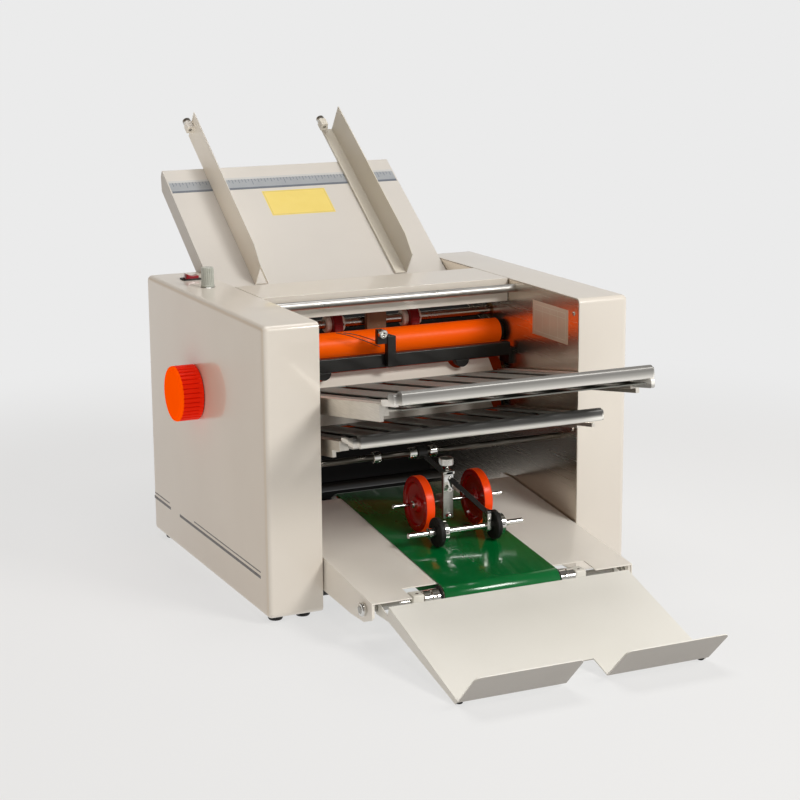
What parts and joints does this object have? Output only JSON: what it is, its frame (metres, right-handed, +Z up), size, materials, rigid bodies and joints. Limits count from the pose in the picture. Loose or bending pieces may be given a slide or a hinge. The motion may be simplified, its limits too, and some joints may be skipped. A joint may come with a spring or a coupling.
{
  "type": "paper folding machine",
  "caption": "Desktop buckle paper folder: sloping feed tray with side guides, roller stack, slatted fold plates, hand knob, green delivery belt with press wheels and a drop-down stack tray.",
  "frame": {"origin": "middle of the whole machine's bounding box, at the underside of its feet", "axes": "+X to the right as seen from the delivery side, +Y from the delivery side towards the feed tray, +Z up"},
  "size_m": [0.5322, 1.0144, 0.574],
  "materials": {
    "casing_paint": "smooth glossy powder coat",
    "side_plate_paint": "glossy paint",
    "black_rubber": "matt",
    "steel": "turned",
    "satin_steel": "satin sheet",
    "bearing_bronze": "sintered",
    "chrome": "polished plating",
    "aluminium": "satin anodised",
    "black_paint": "semi-gloss black",
    "pad_rubber": "matt",
    "motor_grey": "matt",
    "black_plastic": "moulded",
    "white_plastic": "moulded",
    "grey_plastic": "moulded",
    "orange_plastic": "glossy moulded",
    "red_plastic": "glossy moulded",
    "orange_rubber": "ground polyurethane",
    "red_rubber": "ground rubber",
    "green_belt": "glossy belt"
  },
  "bodies": {
    "root": {"left_casing": "casing_paint", "right_casing": "casing_paint", "left_side_plate": "side_plate_paint", "right_side_plate": "side_plate_paint", "rubber_feet": "black_rubber", "tie_bars": "steel", "shaft_bearings": "bearing_bronze", "press_rod": "steel", "front_bar": "chrome", "crossbar": "black_paint", "rear_cover": "black_paint", "separator_pad": "pad_rubber", "motor": "motor_grey", "switch_bezel": "black_plastic", "power_inlet": "black_plastic", "feed_tray": "casing_paint", "delivery_deck": "casing_paint", "deck_fasteners": "steel", "belt_end_blocks": "white_plastic", "conveyor_belt": "green_belt", "drive_belts": "black_rubber"},
    "cover": {"top_cover": "casing_paint"},
    "separator_screw": {"separator_screw": "chrome"},
    "feed": {"feed_shaft": "steel", "feed_wheels": "red_rubber"},
    "knob": {"hand_knob": "orange_plastic", "knob_shaft": "steel"},
    "motor_pulley": {"motor_pulley": "aluminium"},
    "rocker": {"rocker_switch": "red_plastic"},
    "speed_knob": {"speed_knob": "grey_plastic"},
    "left_guide": {"left_guide": "casing_paint"},
    "right_guide": {"right_guide": "casing_paint"},
    "left_guide_screw": {"left_guide_screw": "chrome"},
    "right_guide_screw": {"right_guide_screw": "chrome"},
    "upper_plate": {"upper_plate_rails": "satin_steel", "upper_plate_slats": "satin_steel", "upper_plate_bar": "aluminium"},
    "upper_stop": {"upper_plate_stop": "black_paint"},
    "lower_plate": {"lower_plate_rails": "satin_steel", "lower_plate_slats": "satin_steel", "lower_plate_bar": "aluminium"},
    "lower_stop": {"lower_plate_stop": "black_paint"},
    "rear_plate_1": {"rear_fold_plate_1": "satin_steel"},
    "rear_plate_2": {"rear_fold_plate_2": "satin_steel"},
    "front_belt_roller": {"front_belt_roller": "steel"},
    "rear_belt_roller": {"rear_belt_roller": "steel"},
    "press_arm": {"press_arm": "black_paint", "press_post": "aluminium"},
    "press_wheels": {"press_wheels": "orange_plastic", "press_axle": "chrome"},
    "press_shaft": {"press_shaft": "chrome", "press_discs": "black_rubber"},
    "thumb_screw": {"thumb_screw": "steel"},
    "stack_tray": {"stack_tray": "casing_paint"},
    "fold_roller_1": {"fold_roller_1": "orange_rubber"},
    "fold_roller_2": {"fold_roller_2": "orange_rubber"},
    "fold_roller_3": {"fold_roller_3": "orange_rubber"},
    "fold_roller_4": {"fold_roller_4": "orange_rubber"},
    "fold_roller_5": {"fold_roller_5": "orange_rubber"},
    "fold_roller_6": {"fold_roller_6": "orange_rubber"}
  },
  "joints": [
    {"name": "fold_roller_1_spin", "type": "hinge", "parent": "root", "child": "fold_roller_1", "pos_m": [0.01615, 0.07691, 0.2945], "axis": [1, 0, 0], "continuous": true},
    {"name": "fold_roller_2_spin", "type": "hinge", "parent": "root", "child": "fold_roller_2", "pos_m": [0.01615, 0.10088, 0.269], "axis": [1, 0, 0], "continuous": true},
    {"name": "fold_roller_3_spin", "type": "hinge", "parent": "root", "child": "fold_roller_3", "pos_m": [0.01615, 0.07691, 0.2435], "axis": [1, 0, 0], "continuous": true},
    {"name": "fold_roller_4_spin", "type": "hinge", "parent": "root", "child": "fold_roller_4", "pos_m": [0.01615, 0.10088, 0.218], "axis": [1, 0, 0], "continuous": true},
    {"name": "fold_roller_5_spin", "type": "hinge", "parent": "root", "child": "fold_roller_5", "pos_m": [0.01615, 0.07691, 0.1925], "axis": [1, 0, 0], "continuous": true},
    {"name": "fold_roller_6_spin", "type": "hinge", "parent": "root", "child": "fold_roller_6", "pos_m": [0.01615, 0.10088, 0.167], "axis": [1, 0, 0], "continuous": true},
    {"name": "hand_knob_spin", "type": "hinge", "parent": "root", "child": "knob", "pos_m": [0.01615, 0.11245, 0.2435], "axis": [1, 0, 0], "continuous": true},
    {"name": "feed_shaft_spin", "type": "hinge", "parent": "root", "child": "feed", "pos_m": [0.01615, 0.11088, 0.31697], "axis": [1, 0, 0], "continuous": true},
    {"name": "motor_pulley_spin", "type": "hinge", "parent": "root", "child": "motor_pulley", "pos_m": [0.01615, 0.18691, 0.1025], "axis": [1, 0, 0], "continuous": true},
    {"name": "front_belt_roller_spin", "type": "hinge", "parent": "root", "child": "front_belt_roller", "pos_m": [0.01615, -0.25329, 0.04807], "axis": [1, 0, 0], "continuous": true},
    {"name": "rear_belt_roller_spin", "type": "hinge", "parent": "root", "child": "rear_belt_roller", "pos_m": [0.01615, 0.05491, 0.08304], "axis": [1, 0, 0], "continuous": true},
    {"name": "press_arm_lift", "type": "hinge", "parent": "root", "child": "press_arm", "pos_m": [0.01615, -0.08509, 0.182], "axis": [-1, 0, 0], "range_deg": [0, 20]},
    {"name": "press_wheels_spin", "type": "hinge", "parent": "press_arm", "child": "press_wheels", "pos_m": [0.01615, -0.09609, 0.11814], "axis": [1, 0, 0], "continuous": true},
    {"name": "press_shaft_spin", "type": "hinge", "parent": "press_arm", "child": "press_shaft", "pos_m": [0.01615, -0.15009, 0.0949], "axis": [1, 0, 0], "continuous": true},
    {"name": "thumb_screw_turn", "type": "hinge", "parent": "press_arm", "child": "thumb_screw", "pos_m": [0.02265, -0.09909, 0.15964], "axis": [0, 0, 1], "range_deg": [-180, 180]},
    {"name": "top_cover_hinge", "type": "hinge", "parent": "root", "child": "cover", "pos_m": [0.01615, 0.14991, 0.359], "axis": [-1, 0, 0], "range_deg": [0, 75]},
    {"name": "separator_screw_turn", "type": "hinge", "parent": "root", "child": "separator_screw", "pos_m": [-0.00755, 0.02691, 0.315], "axis": [0, 1, 0], "range_deg": [-180, 180]},
    {"name": "rocker_switch_tilt", "type": "hinge", "parent": "root", "child": "rocker", "pos_m": [-0.19235, 0.24191, 0.367], "axis": [0, -1, 0], "range_deg": [0, 18]},
    {"name": "speed_knob_turn", "type": "hinge", "parent": "root", "child": "speed_knob", "pos_m": [-0.19285, 0.17191, 0.369], "axis": [0, 0, 1], "range_deg": [0, 270]},
    {"name": "left_guide_slide", "type": "slide", "parent": "root", "child": "left_guide", "axis": [-1, 0, 0], "range_m": [-0.085, 0.045]},
    {"name": "right_guide_slide", "type": "slide", "parent": "root", "child": "right_guide", "axis": [1, 0, 0], "range_m": [-0.085, 0.045]},
    {"name": "left_guide_screw_turn", "type": "hinge", "parent": "left_guide", "child": "left_guide_screw", "pos_m": [-0.10385, 0.488, 0.552], "axis": [0, 0.8202, 0.5721], "range_deg": [-180, 180]},
    {"name": "right_guide_screw_turn", "type": "hinge", "parent": "right_guide", "child": "right_guide_screw", "pos_m": [0.10915, 0.49143, 0.54708], "axis": [0, 0.8202, 0.5721], "range_deg": [-180, 180]},
    {"name": "upper_plate_slide", "type": "slide", "parent": "root", "child": "upper_plate", "axis": [0, -0.9877, 0.1564], "range_m": [0, 0.15]},
    {"name": "lower_plate_slide", "type": "slide", "parent": "root", "child": "lower_plate", "axis": [0, -0.9877, 0.1564], "range_m": [0, 0.15]},
    {"name": "rear_plate_1_slide", "type": "slide", "parent": "root", "child": "rear_plate_1", "axis": [0, 0.9877, 0.1564], "range_m": [0, 0.12]},
    {"name": "rear_plate_2_slide", "type": "slide", "parent": "root", "child": "rear_plate_2", "axis": [0, 0.9877, 0.1564], "range_m": [0, 0.12]},
    {"name": "upper_stop_slide", "type": "slide", "parent": "upper_plate", "child": "upper_stop", "axis": [0, -0.9877, 0.1564], "range_m": [-0.14, 0.105]},
    {"name": "lower_stop_slide", "type": "slide", "parent": "lower_plate", "child": "lower_stop", "axis": [0, -0.9877, 0.1564], "range_m": [-0.075, 0.058]},
    {"name": "stack_tray_fold", "type": "hinge", "parent": "root", "child": "stack_tray", "pos_m": [0.01615, -0.25329, 0.04807], "axis": [-1, 0, 0], "range_deg": [0, 20]}
  ],
  "couplings": [
    {"joint": "fold_roller_1_spin", "follows": "fold_roller_2_spin", "ratio": -1},
    {"joint": "fold_roller_3_spin", "follows": "fold_roller_2_spin", "ratio": -1},
    {"joint": "fold_roller_4_spin", "follows": "fold_roller_2_spin", "ratio": 1},
    {"joint": "fold_roller_5_spin", "follows": "fold_roller_2_spin", "ratio": -1},
    {"joint": "fold_roller_6_spin", "follows": "fold_roller_2_spin", "ratio": 1},
    {"joint": "hand_knob_spin", "follows": "fold_roller_2_spin", "ratio": -1.6667},
    {"joint": "feed_shaft_spin", "follows": "fold_roller_2_spin", "ratio": -0.55556},
    {"joint": "motor_pulley_spin", "follows": "fold_roller_2_spin", "ratio": -2.5},
    {"joint": "front_belt_roller_spin", "follows": "fold_roller_2_spin", "ratio": 1},
    {"joint": "rear_belt_roller_spin", "follows": "fold_roller_2_spin", "ratio": 1},
    {"joint": "press_wheels_spin", "follows": "fold_roller_2_spin", "ratio": -0.44538},
    {"joint": "press_shaft_spin", "follows": "fold_roller_2_spin", "ratio": -0.85027}
  ]
}
